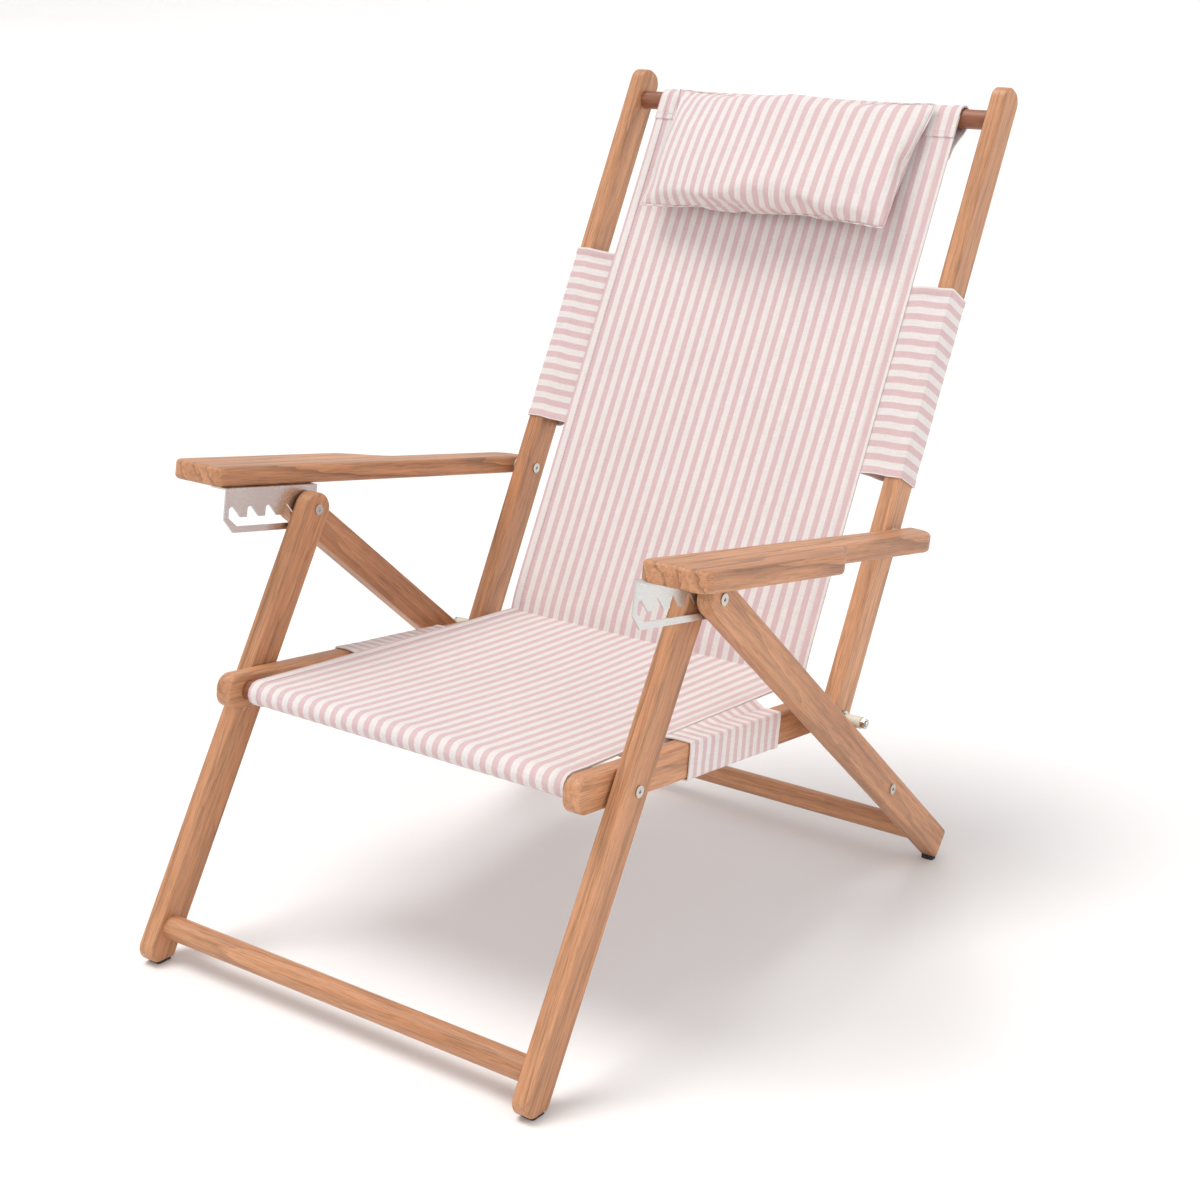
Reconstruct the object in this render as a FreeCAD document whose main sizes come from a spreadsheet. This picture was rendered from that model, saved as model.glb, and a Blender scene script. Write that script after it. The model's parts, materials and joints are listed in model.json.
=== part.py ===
import FreeCAD, Part

import math
import os

import Sketcher
from FreeCAD import Placement, Rotation, Vector

# Low folding beach chair with a striped sling, four hardwood frames and two notched armrest catches.
# Frame of the part: the sitter faces -Y, +X is the sitter's left hand, +Z is up.
# The origin is on the floor, at the centre of the chair's box.
# Everything at +X is modelled once and mirrored to -X.

os.makedirs("parts", exist_ok=True)
doc = FreeCAD.newDocument("beach_chair")

# ---------------------------------------------------------------- driving sizes

SIZES = [
    # side geometry, measured in the plane of one side of the chair
    ("head_y", -172.2, "head pivot, where front and rear legs cross"),
    ("head_z", 412.6, "height of the head pivot"),
    ("front_lean", 60.4, "front leg, degrees above the floor"),
    ("rear_lean", 40.26, "rear leg, degrees above the floor"),
    ("seat_pivot_down", 181.5, "head pivot to seat pivot, along the front leg"),
    ("seat_pitch", 359.9, "seat pivot to back hinge, along the seat rail"),
    ("seat_slope", 5.85, "seat rail, degrees down towards the back"),
    ("back_lean", 63.3, "back rail, degrees above the floor"),
    ("back_pitch", 651.4, "back hinge to top dowel, along the back rail"),
    ("arm_pivot_up", 194.0, "back hinge to arm pivot, along the back rail"),
    ("arm_slope", 8.56, "armrest, degrees down towards the back"),
    ("stay_pivot_down", 449.0, "head pivot to stay bolt, along the rear leg"),
    # bar stock
    ("stock_thick", 18.2, "thickness of every leg and rail, along X"),
    ("stock_deep", 34.0, "depth of every leg and rail"),
    ("stock_edge", 2.6, "rounding of the long edges"),
    ("end_round", 14.5, "corner rounding of a bar's round end"),
    ("rear_end_round", 5.0, "corner rounding of a rear leg's lower end"),
    ("front_leg_reach", 472.0, "head pivot to the front leg's lower end"),
    ("rear_leg_reach", 617.0, "head pivot to the rear leg's lower end"),
    ("seat_rail_reach", 420.0, "back hinge to the seat rail's front end"),
    ("back_rail_reach", 687.0, "back hinge to the back rail's top end"),
    # planes across the chair, measured from the middle
    ("seat_rail_x", 202.3, "inner face of a seat rail"),
    ("front_leg_x", 222.8, "inner face of a front leg and of a back rail"),
    ("rear_leg_x", 246.6, "inner face of a rear leg"),
    ("arm_x", 249.0, "inner edge of an armrest"),
    # dowels
    ("stretcher_r", 12.0, "radius of the two floor stretchers"),
    ("top_dowel_r", 10.3, "radius of the dowel at the top of the back"),
    ("seat_dowel_r", 10.0, "radius of the dowel at the front of the seat"),
    ("tenon", 10.0, "how far a dowel enters its leg or rail"),
    ("front_stretcher_down", 435.2, "head pivot to front stretcher"),
    ("rear_stretcher_down", 582.0, "head pivot to rear stretcher"),
    ("seat_dowel_ahead", 32.5, "seat pivot to seat dowel, forwards"),
    # armrest, along its length from the arm pivot and across from its inner edge
    ("arm_thick", 19.4, "thickness of the armrest"),
    ("arm_behind", 20.0, "arm pivot to the rear end"),
    ("arm_ahead", 470.0, "arm pivot to the front end"),
    ("arm_neck", 37.0, "width of the rear part"),
    ("arm_wide", 68.0, "width of the front part"),
    ("arm_neck_end", 184.0, "where the neck starts to widen"),
    ("arm_wide_start", 236.0, "where the full width starts"),
    ("arm_edge", 4.0, "rounding of the armrest's long edges"),
    # catch plate under the armrest
    ("plate_x", 243.0, "inner face of the catch plate"),
    ("plate_thick", 1.8, "sheet thickness"),
    ("plate_back", 338.0, "arm pivot to the plate's rear edge"),
    ("plate_front", 464.0, "arm pivot to the plate's front edge"),
    ("plate_drop", 54.2, "armrest's middle plane to the plate's lower edge"),
    ("plate_flange", 21.0, "width of the flange screwed to the armrest"),
    ("notch_first", 356.0, "arm pivot to the rearmost notch, along the armrest"),
    ("notch_pitch", 24.75, "spacing of the five notches"),
    ("notch_depth", 31.4, "armrest's middle plane to a seated pin's centre"),
    ("notch_r", 3.3, "radius of a notch's closed end"),
    ("tooth_tip", 39.0, "armrest's middle plane to the tips of the teeth"),
    ("channel_floor", 47.8, "armrest's middle plane to the bottom bar"),
    # fasteners
    ("bolt_r", 3.0, "radius of the M6 shanks"),
    ("bore_r", 3.06, "radius of the holes that they run in"),
    ("bolt_head_r", 5.6, "radius of the low bolt heads"),
    ("bolt_head", 1.6, "height of the low bolt heads"),
    ("socket_r", 2.0, "hexagon socket, across its corners, halved"),
    ("washer_r", 8.0, "radius of the washers"),
    ("roller_r", 6.0, "radius of the nylon roller behind the rear leg"),
    ("nut_r", 5.6, "radius across the corners of the lock nuts"),
    ("barrel_r", 4.5, "radius of the barrel nuts in the seat rails"),
    ("stay_thick", 2.0, "thickness of the steel stays"),
    ("stay_wide", 16.0, "width of the steel stays"),
    ("stay_x", 242.9, "inner face of a stay"),
    ("head_bolt_long", 19.6, "shank of the head bolt, in the front leg"),
    ("head_cap_long", 19.4, "shank of the head bolt's cap, in the rear leg"),
    ("seat_bolt_long", 36.0, "shank of the seat bolt"),
    ("hinge_bolt_long", 68.6, "shank of the back hinge bolt"),
    ("stay_bolt_long", 17.6, "shank of the stay bolt"),
    ("arm_bolt_long", 45.0, "shank of the arm bolt"),
    ("roller_long", 17.8, "length of the nylon roller"),
    ("nut_high", 4.6, "height of the lock nuts"),
    ("insert_r", 5.0, "radius of the threaded insert in the armrest"),
    ("insert_long", 21.0, "length of the threaded insert"),
    ("barrel_long", 24.0, "length of a barrel nut"),
    ("screw_r", 1.9, "radius of the catch plate's wood screws"),
    ("screw_long", 13.0, "how far the wood screws enter the armrest"),
    ("screw_head_r", 3.3, "radius of the wood screws' heads"),
    ("screw_head", 1.1, "height of the wood screws' heads"),
    # feet
    ("front_pad", 4.0, "thickness of the front pads"),
    ("rear_pad", 5.0, "thickness of the rear pads"),
    # fabric
    ("cloth", 1.3, "thickness of the hemmed canvas"),
    ("cloth_gap", 0.3, "room between canvas and wood"),
    ("sling_half", 192.0, "half the width of the sling"),
    ("back_crease_up", 29.0, "back hinge to the back sling's lower end"),
    ("seat_crease_ahead", 2.0, "back hinge to the seat sling's rear end"),
    ("seat_lift", 2.7, "seat sling, degrees up from the rails towards the back"),
    ("back_wrap_low", 251.0, "back hinge to the lower end of a back wrap"),
    ("back_wrap_high", 457.0, "back hinge to the upper end of a back wrap"),
    ("seat_wrap_rear", 92.0, "back hinge to the rear end of a seat wrap"),
    ("seat_wrap_front", 252.0, "back hinge to the front end of a seat wrap"),
    ("pillow_wide", 330.0, "length of the head pillow, across the chair"),
    ("pillow_low", 512.0, "back hinge to the pillow's lower edge"),
    ("pillow_tall", 138.0, "height of the head pillow"),
    ("pillow_deep", 52.0, "thickness of the head pillow"),
]

sheet = doc.addObject("Spreadsheet::Sheet", "sizes")
for row, (alias, value, words) in enumerate(SIZES, start=1):
    sheet.set(f"A{row}", words)
    sheet.set(f"B{row}", str(value))
    sheet.setAlias(f"B{row}", alias)
doc.recompute()


def size(alias):
    """The number in the sheet's cell of that alias."""
    return float(sheet.get(alias))


def bind(obj, **links):
    """Bind properties of obj to expressions of the sheet's aliases."""
    for prop, words in links.items():
        obj.setExpression(prop, words)


def cell(alias):
    return "sizes." + alias


# ---------------------------------------------------------------- points of the side geometry


def along(start, degrees, distance):
    """The point at a distance from start, in a direction measured from +Y towards +Z."""
    turn = math.radians(degrees)
    return Vector(0, start.y + distance * math.cos(turn), start.z + distance * math.sin(turn))


FRONT_DOWN = 180 + size("front_lean")
REAR_DOWN = -size("rear_lean")
SEAT_FORWARD = 180 - size("seat_slope")
BACK_UP = size("back_lean")
ARM_FORWARD = 180 - size("arm_slope")

HEAD = Vector(0, size("head_y"), size("head_z"))
SEAT_PIVOT = along(HEAD, FRONT_DOWN, size("seat_pivot_down"))
HINGE = along(SEAT_PIVOT, SEAT_FORWARD, -size("seat_pitch"))
TOP_DOWEL = along(HINGE, BACK_UP, size("back_pitch"))
ARM_PIVOT = along(HINGE, BACK_UP, size("arm_pivot_up"))
STAY_BOLT = along(HEAD, REAR_DOWN, size("stay_pivot_down"))
FRONT_STRETCHER = along(HEAD, FRONT_DOWN, size("front_stretcher_down"))
REAR_STRETCHER = along(HEAD, REAR_DOWN, size("rear_stretcher_down"))
SEAT_DOWEL = along(SEAT_PIVOT, SEAT_FORWARD, size("seat_dowel_ahead"))
STAY_SPAN = (STAY_BOLT - HINGE).Length
STAY_DOWN = math.degrees(math.atan2(STAY_BOLT.z - HINGE.z, STAY_BOLT.y - HINGE.y))

FRONT_LEG_OUTER = size("front_leg_x") + size("stock_thick")
REAR_LEG_OUTER = size("rear_leg_x") + size("stock_thick")
SEAT_RAIL_OUTER = size("seat_rail_x") + size("stock_thick")


def side_frame(x, point, degrees):
    """Placement of a flat piece in a side plane: its own X runs in that direction, its Z points to +X."""
    turn = math.radians(degrees)
    forward = Vector(0, math.cos(turn), math.sin(turn))
    across = Vector(1, 0, 0).cross(forward)
    return Placement(Vector(x, point.y, point.z), Rotation(forward, across, Vector(1, 0, 0), "XYZ"))


def x_axis_at(x, point):
    """Placement of a turned piece whose own Z axis points to +X."""
    return Placement(Vector(x, point.y, point.z), Rotation(Vector(0, 1, 0), 90))


# ---------------------------------------------------------------- building blocks

finished = []


def finish(obj, label):
    """Name a finished sub-part and list it for export."""
    obj.Label = label
    finished.append(obj)
    return obj


def mirrored(obj, label):
    """The same sub-part on the other side of the chair."""
    twin = doc.addObject("Part::Mirroring", label)
    twin.Source = obj
    twin.Normal = Vector(1, 0, 0)
    return finish(twin, label)


def pair(obj, label):
    """Finish a right-and-left pair; the modelled one is at +X, the sitter's left."""
    finish(obj, label + "_left")
    mirrored(obj, label + "_right")


def cut(name, base, tool):
    result = doc.addObject("Part::Cut", name)
    result.Base = base
    result.Tool = tool
    return result


def fuse(name, *pieces):
    result = doc.addObject("Part::MultiFuse", name)
    result.Shapes = list(pieces)
    return result


def group(label, *pieces):
    """Separate solids that share one node."""
    result = doc.addObject("Part::Compound", label)
    result.Links = list(pieces)
    return finish(result, label)


def rod(name, radius, length, placement):
    """A cylinder whose radius and length are expressions."""
    result = doc.addObject("Part::Cylinder", name)
    bind(result, Radius=radius, Height=length)
    result.Placement = placement
    return result


def block(name, length, width, height, placement):
    result = doc.addObject("Part::Box", name)
    bind(result, Length=length, Width=width, Height=height)
    result.Placement = placement
    return result


def new_body(name, plane="XY_Plane"):
    """A PartDesign body with one sketch on one of its own origin planes."""
    body = doc.addObject("PartDesign::Body", name)
    sketch = body.newObject("Sketcher::SketchObject", name + "_outline")
    origin_plane = next(o for o in body.Origin.OriginFeatures if o.Role == plane)
    sketch.AttachmentSupport = [(origin_plane, "")]
    sketch.MapMode = "FlatFace"
    return body, sketch


def named(sketch, name, expression, kind, *where):
    """Add a constraint with a name, and bind it to an expression."""
    index = sketch.addConstraint(Sketcher.Constraint(kind, *where))
    sketch.renameConstraint(index, name)
    sketch.setExpression("Constraints." + name, expression)


def outline_edges(shape, thick, centred=False):
    """Names of the edges round the two flat faces, without the rims of round holes."""
    low = -thick / 2 if centred else 0.0
    names = []
    for number, edge in enumerate(shape.Edges, start=1):
        box = edge.BoundBox
        on_face = box.ZLength < 1e-4 and min(abs(box.ZMin - low), abs(box.ZMin - low - thick)) < 1e-4
        full_circle = isinstance(edge.Curve, Part.Circle) and len(edge.Vertexes) == 1
        if on_face and not full_circle:
            names.append(f"Edge{number}")
    return names


def rounded(body, feature, edges, radius, name):
    fillet = body.newObject("PartDesign::Fillet", name)
    fillet.Base = (feature, edges)
    bind(fillet, Radius=radius)
    body.Tip = fillet
    return fillet


def bar(name, reach, corner, bore_at):
    """A flat bar along its own X, with bolt holes at its origin and at bore_at.

    The end at the origin is half round, and the other end has round corners.
    """
    body, sketch = new_body(name)
    half = size("stock_deep") / 2
    far = size(reach)
    r = size(corner)
    line, arc, point = Part.LineSegment, Part.ArcOfCircle, Vector
    up = Vector(0, 0, 1)
    ids = sketch.addGeometry(
        [
            line(point(0, -half, 0), point(far - r, -half, 0)),
            arc(Part.Circle(point(far - r, -half + r, 0), up, r), -math.pi / 2, 0),
            line(point(far, -half + r, 0), point(far, half - r, 0)),
            arc(Part.Circle(point(far - r, half - r, 0), up, r), 0, math.pi / 2),
            line(point(far - r, half, 0), point(0, half, 0)),
            arc(Part.Circle(point(0, 0, 0), up, half), math.pi / 2, 3 * math.pi / 2),
        ]
    )
    low, corner_a, end, corner_b, high, cap = ids
    for first, first_end, second, second_end in (
        (low, 2, corner_a, 1),
        (corner_a, 2, end, 1),
        (end, 2, corner_b, 1),
        (corner_b, 2, high, 1),
        (high, 2, cap, 1),
        (cap, 2, low, 1),
    ):
        sketch.addConstraint(Sketcher.Constraint("Tangent", first, first_end, second, second_end))
    sketch.addConstraint(Sketcher.Constraint("Horizontal", low))
    sketch.addConstraint(Sketcher.Constraint("Coincident", cap, 3, -1, 1))
    sketch.addConstraint(Sketcher.Constraint("Equal", corner_a, corner_b))
    named(sketch, "half_depth", cell("stock_deep") + " / 2", "Radius", cap, half)
    named(sketch, "corner", cell(corner), "Radius", corner_a, r)
    named(sketch, "reach", cell(reach), "DistanceX", -1, 1, end, 1, far)
    pivot = sketch.addGeometry(Part.Circle(Vector(0, 0, 0), up, size("bore_r")))
    sketch.addConstraint(Sketcher.Constraint("Coincident", pivot, 3, -1, 1))
    hole = sketch.addGeometry(Part.Circle(Vector(size(bore_at), 0, 0), up, size("bore_r")))
    sketch.addConstraint(Sketcher.Constraint("PointOnObject", hole, 3, -1))
    sketch.addConstraint(Sketcher.Constraint("Equal", pivot, hole))
    named(sketch, "bore", cell("bore_r"), "Radius", pivot, size("bore_r"))
    named(sketch, "bore_at", cell(bore_at), "DistanceX", -1, 1, hole, 3, size(bore_at))
    pad = body.newObject("PartDesign::Pad", name + "_stock")
    pad.Profile = sketch
    bind(pad, Length=cell("stock_thick"))
    doc.recompute()
    edges = outline_edges(pad.Shape, size("stock_thick"))
    rounded(body, pad, edges, cell("stock_edge"), name + "_edges")
    doc.recompute()
    return body


def bolt(name, head_x, shank, point, outwards):
    """A low-headed bolt along X, its head on the face at head_x, looking outwards (1) or inwards (-1)."""
    head_low = head_x if outwards > 0 else head_x - size("bolt_head")
    shank_low = head_x - size(shank) if outwards > 0 else head_x
    socket_low = head_low + (0.5 if outwards > 0 else -0.1)
    body = fuse(
        name + "_solid",
        rod(name + "_shank", cell("bolt_r"), cell(shank), x_axis_at(shank_low, point)),
        rod(name + "_head", cell("bolt_head_r"), cell("bolt_head"), x_axis_at(head_low, point)),
    )
    socket = doc.addObject("Part::Prism", name + "_socket")
    socket.Polygon = 6
    bind(socket, Circumradius=cell("socket_r"), Height=cell("bolt_head") + " - 0.4")
    socket.Placement = x_axis_at(socket_low, point)
    return cut(name, body, socket)


def ring(name, outer, inner, thick, x, point):
    """A washer, bush or roller round an axis along X."""
    outside = rod(name + "_outside", outer, thick, x_axis_at(x, point))
    inside = rod(name + "_inside", inner, thick, x_axis_at(x, point))
    return cut(name, outside, inside)


def below_the_pad(name, x, y, pad):
    """Everything under the top of a foot pad."""
    corner = Placement(Vector(x - 20, y - 60, -40), Rotation())
    return block(name, "60", "120", "40 + " + cell(pad), corner)


def blind_hole(name, radius, x, point):
    """A hole for a dowel's tenon, from the inner face of a bar at x."""
    return rod(name, radius, cell("tenon"), x_axis_at(x, point))


def dowel(label, radius, half_x, point):
    """A round cross bar whose tenons enter the bars whose inner faces are at half_x."""
    start = -size(half_x) - size("tenon")
    length = f"2 * ({cell(half_x)} + {cell('tenon')})"
    return finish(rod(label, radius, length, x_axis_at(start, point)), label)


# ---------------------------------------------------------------- front legs

front_leg_bar = bar("front_leg_bar", "front_leg_reach", "end_round", "seat_pivot_down")
front_leg_bar.Placement = side_frame(size("front_leg_x"), HEAD, FRONT_DOWN)
FRONT_FOOT = along(HEAD, FRONT_DOWN, size("head_z") / math.sin(math.radians(size("front_lean"))))
front_leg_cuts = fuse(
    "front_leg_cuts",
    blind_hole("front_leg_mortise", cell("stretcher_r"), size("front_leg_x"), FRONT_STRETCHER),
    below_the_pad("front_leg_floor", size("front_leg_x"), FRONT_FOOT.y, "front_pad"),
)
pair(cut("front_leg", front_leg_bar, front_leg_cuts), "front_leg")
dowel("front_stretcher", cell("stretcher_r"), "front_leg_x", FRONT_STRETCHER)

# ---------------------------------------------------------------- rear legs

rear_leg_bar = bar("rear_leg_bar", "rear_leg_reach", "rear_end_round", "stay_pivot_down")
rear_leg_bar.Placement = side_frame(size("rear_leg_x"), HEAD, REAR_DOWN)
REAR_FOOT = along(HEAD, REAR_DOWN, size("rear_leg_reach"))
rear_leg_cuts = fuse(
    "rear_leg_cuts",
    blind_hole("rear_leg_mortise", cell("stretcher_r"), size("rear_leg_x"), REAR_STRETCHER),
    below_the_pad("rear_leg_floor", size("rear_leg_x"), REAR_FOOT.y, "rear_pad"),
)
pair(cut("rear_leg", rear_leg_bar, rear_leg_cuts), "rear_leg")
dowel("rear_stretcher", cell("stretcher_r"), "rear_leg_x", REAR_STRETCHER)

# ---------------------------------------------------------------- foot pads

PAD_WIDE = 14.0


def foot_pads(label, pad, length, bar_x, y):
    """Two rubber pads, one under each leg, on the middle of its thickness."""
    pads = []
    middle = size(bar_x) + size("stock_thick") / 2
    for side in (-1, 1):
        corner = Placement(Vector(side * middle - PAD_WIDE / 2, y - length / 2, 0), Rotation())
        slab = block(f"{label}_slab{side + 2}", str(PAD_WIDE), str(length), cell(pad), corner)
        rounding = doc.addObject("Part::Fillet", f"{label}_pad{side + 2}")
        rounding.Base = slab
        doc.recompute()
        upright = [
            (number, 2.5, 2.5)
            for number, edge in enumerate(slab.Shape.Edges, start=1)
            if edge.BoundBox.ZLength > 1
        ]
        rounding.Edges = upright
        pads.append(rounding)
    return group(label, *pads)


front_pad_y = along(HEAD, FRONT_DOWN, size("front_leg_reach") - size("end_round")).y + 2.2
foot_pads("front_foot_pads", "front_pad", 17.0, "front_leg_x", front_pad_y)
foot_pads("rear_foot_pads", "rear_pad", 10.0, "rear_leg_x", REAR_FOOT.y - 11.8)

# ---------------------------------------------------------------- seat frame

seat_rail_bar = bar("seat_rail_bar", "seat_rail_reach", "end_round", "seat_pitch")
seat_rail_bar.Placement = side_frame(size("seat_rail_x"), HINGE, SEAT_FORWARD)
rail_middle = size("seat_rail_x") + size("stock_thick") / 2
rail_across = side_frame(rail_middle, SEAT_PIVOT, SEAT_FORWARD)
barrel_axis = Placement(Vector(0, -size("barrel_long") / 2, 0), Rotation(Vector(1, 0, 0), -90))
seat_rail_cuts = fuse(
    "seat_rail_cuts",
    blind_hole("seat_rail_mortise", cell("seat_dowel_r"), size("seat_rail_x"), SEAT_DOWEL),
    rod("barrel_nut_hole", cell("barrel_r"), "60", rail_across.multiply(barrel_axis)),
)
pair(cut("seat_rail", seat_rail_bar, seat_rail_cuts), "seat_rail")
dowel("seat_front_dowel", cell("seat_dowel_r"), "seat_rail_x", SEAT_DOWEL)

barrel_blank = rod("barrel_blank", cell("barrel_r"), cell("barrel_long"), rail_across.multiply(barrel_axis))
barrel_hole_axis = x_axis_at(size("seat_rail_x"), SEAT_PIVOT)
barrel_bore = rod("barrel_bore", cell("bore_r"), cell("stock_thick"), barrel_hole_axis)
pair(cut("seat_barrel_nut", barrel_blank, barrel_bore), "seat_barrel_nut")
pair(bolt("seat_bolt", FRONT_LEG_OUTER, "seat_bolt_long", SEAT_PIVOT, 1), "seat_bolt")

# ---------------------------------------------------------------- back frame

back_rail_bar = bar("back_rail_bar", "back_rail_reach", "end_round", "arm_pivot_up")
back_rail_bar.Placement = side_frame(size("front_leg_x"), HINGE, BACK_UP)
top_mortise = blind_hole("back_rail_mortise", cell("top_dowel_r"), size("front_leg_x"), TOP_DOWEL)
pair(cut("back_rail", back_rail_bar, top_mortise), "back_rail")
dowel("top_dowel", cell("top_dowel_r"), "front_leg_x", TOP_DOWEL)

# ---------------------------------------------------------------- head pivot and stays

pair(bolt("head_bolt", size("front_leg_x"), "head_bolt_long", HEAD, -1), "head_bolt")
pair(bolt("head_bolt_cap", REAR_LEG_OUTER, "head_cap_long", HEAD, 1), "head_bolt_cap")
pair(bolt("stay_bolt", REAR_LEG_OUTER, "stay_bolt_long", STAY_BOLT, 1), "stay_bolt")

stay_frame = side_frame(size("stay_x"), HINGE, STAY_DOWN)
stay_strip = block(
    "stay_strip",
    str(STAY_SPAN),
    cell("stay_wide"),
    cell("stay_thick"),
    stay_frame.multiply(Placement(Vector(0, -size("stay_wide") / 2, 0), Rotation())),
)
STAY_END_R = cell("stay_wide") + " / 2"
stay_plate = fuse(
    "stay_plate",
    stay_strip,
    rod("stay_end_at_hinge", STAY_END_R, cell("stay_thick"), x_axis_at(size("stay_x"), HINGE)),
    rod("stay_end_at_leg", STAY_END_R, cell("stay_thick"), x_axis_at(size("stay_x"), STAY_BOLT)),
)
stay_holes = fuse(
    "stay_holes",
    rod("stay_hole_at_hinge", cell("bore_r"), cell("stay_thick"), x_axis_at(size("stay_x"), HINGE)),
    rod("stay_hole_at_leg", cell("bore_r"), cell("stay_thick"), x_axis_at(size("stay_x"), STAY_BOLT)),
)
pair(cut("stay_link", stay_plate, stay_holes), "stay_link")

# ---------------------------------------------------------------- back hinge

pair(bolt("hinge_bolt", size("seat_rail_x"), "hinge_bolt_long", HINGE, -1), "hinge_bolt")
ROLLER_X = size("rear_leg_x") + 0.2
roller = ring("roller", cell("roller_r"), cell("bore_r"), cell("roller_long"), ROLLER_X, HINGE)
pair(roller, "nylon_roller")
NUT_X = REAR_LEG_OUTER + 0.3
nut_blank = doc.addObject("Part::Prism", "lock_nut_blank")
nut_blank.Polygon = 6
bind(nut_blank, Circumradius=cell("nut_r"), Height=cell("nut_high"))
nut_blank.Placement = x_axis_at(NUT_X, HINGE)
nut_bore = rod("lock_nut_bore", cell("bore_r"), cell("nut_high"), x_axis_at(NUT_X, HINGE))
pair(cut("lock_nut", nut_blank, nut_bore), "lock_nut")

# ---------------------------------------------------------------- washers

WASHER_PLACES = {
    # node: places of (x, point, thickness)
    "leg_washers": [(FRONT_LEG_OUTER + 0.1, HEAD, 1.2), (SEAT_RAIL_OUTER + 0.2, SEAT_PIVOT, 1.9)],
    "hinge_washers": [(SEAT_RAIL_OUTER + 0.2, HINGE, 1.9), (FRONT_LEG_OUTER + 0.2, HINGE, 1.5)],
}
for node, places in WASHER_PLACES.items():
    washers = []
    for number, (x, point, thick) in enumerate(places, start=1):
        washer = ring(f"{node}_{number}", cell("washer_r"), cell("bore_r"), str(thick), x, point)
        twin = doc.addObject("Part::Mirroring", washer.Name + "_right")
        twin.Source = washer
        twin.Normal = Vector(1, 0, 0)
        washers += [washer, twin]
    group(node, *washers)
spacer_x = FRONT_LEG_OUTER + 0.2
pair(ring("arm_spacer", cell("washer_r"), cell("bore_r"), "7.6", spacer_x, ARM_PIVOT), "arm_spacer")

# ---------------------------------------------------------------- armrests

pair(bolt("arm_bolt", size("front_leg_x"), "arm_bolt_long", ARM_PIVOT, -1), "arm_bolt")

ARM_TURN = math.radians(ARM_FORWARD)
ARM_AHEAD = Vector(0, math.cos(ARM_TURN), math.sin(ARM_TURN))
ARM_UP = ARM_AHEAD.cross(Vector(1, 0, 0))
ARM_FRAME = Placement(
    Vector(size("arm_x"), ARM_PIVOT.y, ARM_PIVOT.z),
    Rotation(ARM_AHEAD, Vector(1, 0, 0), ARM_UP, "XYZ"),
)


def armrest_blank():
    """The board: a narrow neck by the back, widening in a soft step to the broad front."""
    body, sketch = new_body("armrest_board")
    neck, wide = size("arm_neck"), size("arm_wide")
    rear, front = -size("arm_behind"), size("arm_ahead")
    corners = [
        (rear, 0),
        (front, 0),
        (front, wide),
        (size("arm_wide_start"), wide),
        (size("arm_neck_end"), neck),
        (rear, neck),
    ]
    points = [Vector(x, y, 0) for x, y in corners]
    sides = [Part.LineSegment(a, b) for a, b in zip(points, points[1:] + points[:1])]
    ids = sketch.addGeometry(sides)
    for this, following in zip(ids, ids[1:] + ids[:1]):
        sketch.addConstraint(Sketcher.Constraint("Coincident", this, 2, following, 1))
    inner, nose, wide_side, _, neck_side, tail = ids
    for flat in (inner, wide_side, neck_side):
        sketch.addConstraint(Sketcher.Constraint("Horizontal", flat))
    for upright in (nose, tail):
        sketch.addConstraint(Sketcher.Constraint("Vertical", upright))
    sketch.addConstraint(Sketcher.Constraint("PointOnObject", inner, 1, -1))
    named(sketch, "behind", cell("arm_behind"), "DistanceX", inner, 1, -1, 1, -rear)
    named(sketch, "ahead", cell("arm_ahead"), "DistanceX", -1, 1, inner, 2, front)
    named(sketch, "wide", cell("arm_wide"), "DistanceY", -1, 1, wide_side, 1, wide)
    named(sketch, "neck", cell("arm_neck"), "DistanceY", -1, 1, neck_side, 1, neck)
    named(sketch, "start", cell("arm_wide_start"), "DistanceX", -1, 1, wide_side, 2, corners[3][0])
    named(sketch, "neck_end", cell("arm_neck_end"), "DistanceX", -1, 1, neck_side, 1, corners[4][0])
    pad = body.newObject("PartDesign::Pad", "armrest_stock")
    pad.Profile = sketch
    pad.Midplane = True
    bind(pad, Length=cell("arm_thick"))
    doc.recompute()
    last = pad
    rounds = ((5, 30.0), (4, 45.0), (3, 16.0), (2, 13.0), (1, 9.0), (0, 4.0))
    for corner, radius in rounds:
        spot = points[corner]
        edges = [
            f"Edge{number}"
            for number, edge in enumerate(last.Shape.Edges, start=1)
            if edge.BoundBox.ZLength > 1
            and math.hypot(edge.CenterOfMass.x - spot.x, edge.CenterOfMass.y - spot.y) < 0.01
        ]
        last = rounded(body, last, edges, str(radius), f"armrest_corner{corner}")
        doc.recompute()
    edges = outline_edges(last.Shape, size("arm_thick"), centred=True)
    rounded(body, last, edges, cell("arm_edge"), "armrest_edges")
    doc.recompute()
    return body


board = armrest_blank()
board.Placement = ARM_FRAME

SCREW_PLACES = (376.0, 414.0, 452.0)
SCREW_OFFSET = 7.0


def screw_place(ahead, down):
    """Placement of a screw on the armrest's underside, its own Z axis pointing up into the wood."""
    spot = Placement(Vector(ahead, SCREW_OFFSET, -size("arm_thick") / 2 - down), Rotation())
    return ARM_FRAME.multiply(spot)


insert_hole = rod("insert_hole", cell("insert_r"), cell("insert_long"), x_axis_at(size("arm_x"), ARM_PIVOT))
pilot_holes = [
    rod(f"pilot{number}", cell("screw_r"), cell("screw_long"), screw_place(ahead, 0))
    for number, ahead in enumerate(SCREW_PLACES, start=1)
]
armrest_holes = fuse("armrest_holes", insert_hole, *pilot_holes)
pair(cut("armrest", board, armrest_holes), "armrest")
insert = ring("arm_insert", cell("insert_r"), cell("bore_r"), cell("insert_long"), size("arm_x"), ARM_PIVOT)
pair(insert, "arm_insert")

# ---------------------------------------------------------------- catch plates


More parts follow.
